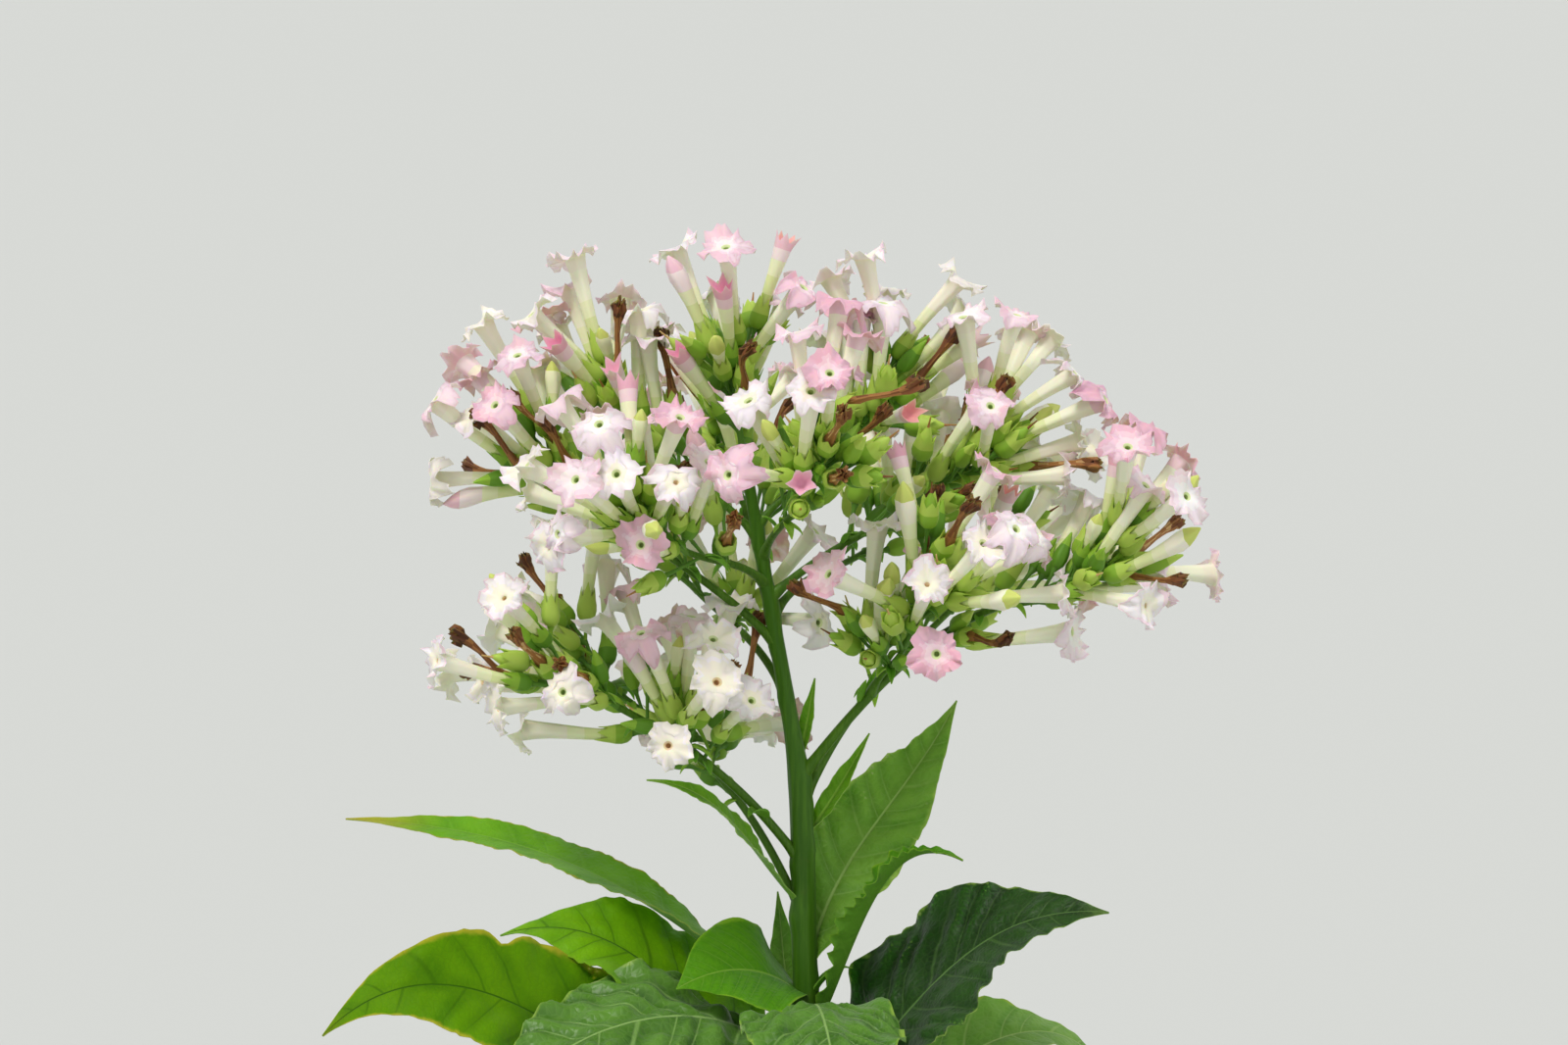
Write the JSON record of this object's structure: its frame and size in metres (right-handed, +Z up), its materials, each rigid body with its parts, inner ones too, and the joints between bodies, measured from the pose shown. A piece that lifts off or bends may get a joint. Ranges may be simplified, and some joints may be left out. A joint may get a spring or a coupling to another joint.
{
  "type": "tobacco plant",
  "caption": "Flowering tobacco plant with a tall round green stem, large drooping leaves and a wide open panicle of pink and white trumpet flowers.",
  "frame": {"origin": "middle of the flat cut under the stem, at ground level", "axes": "+Z up along the stem, +X to the right in the front view, +Y away from the front"},
  "size_m": [0.6694, 0.5947, 1.248],
  "materials": {
    "stem": "satin",
    "leaf": "satin",
    "flower": "matte"
  },
  "bodies": {
    "root": {"bough_back_left": "stem", "bough_back_low": "stem", "bough_back_right": "stem", "bough_front": "stem", "bough_left_front": "stem", "bough_left_high": "stem", "bough_left_low": "stem", "bough_left_low_back": "stem", "bough_left_top": "stem", "bough_right_high": "stem", "bough_right_inner": "stem", "bough_right_low": "stem", "bough_right_low_back": "stem", "bough_right_top": "stem", "bract_left": "leaf", "bract_right_back": "leaf", "bract_right_broad": "leaf", "flowers_back_left": "flower", "flowers_back_low": "flower", "flowers_back_right": "flower", "flowers_crown": "flower", "flowers_front": "flower", "flowers_left_front": "flower", "flowers_left_high": "flower", "flowers_left_low": "flower", "flowers_left_low_back": "flower", "flowers_left_top": "flower", "flowers_right_high": "flower", "flowers_right_inner": "flower", "flowers_right_low": "flower", "flowers_right_low_back": "flower", "flowers_right_top": "flower", "leaf_back": "leaf", "leaf_broad_right": "leaf", "leaf_crinkled_left": "leaf", "leaf_curled_right": "leaf", "leaf_front": "leaf", "leaf_lobed_left": "leaf", "leaf_long_left": "leaf", "leaf_lower_1": "leaf", "leaf_lower_10": "leaf", "leaf_lower_2": "leaf", "leaf_lower_3": "leaf", "leaf_lower_4": "leaf", "leaf_lower_5": "leaf", "leaf_lower_6": "leaf", "leaf_lower_7": "leaf", "leaf_lower_8": "leaf", "leaf_lower_9": "leaf", "leaf_pale_right": "leaf", "leaf_small_left": "leaf", "leaf_upright_left": "leaf", "leaf_upright_right": "leaf", "leaf_yellow_left": "leaf", "stem": "stem"}
  },
  "joints": []
}
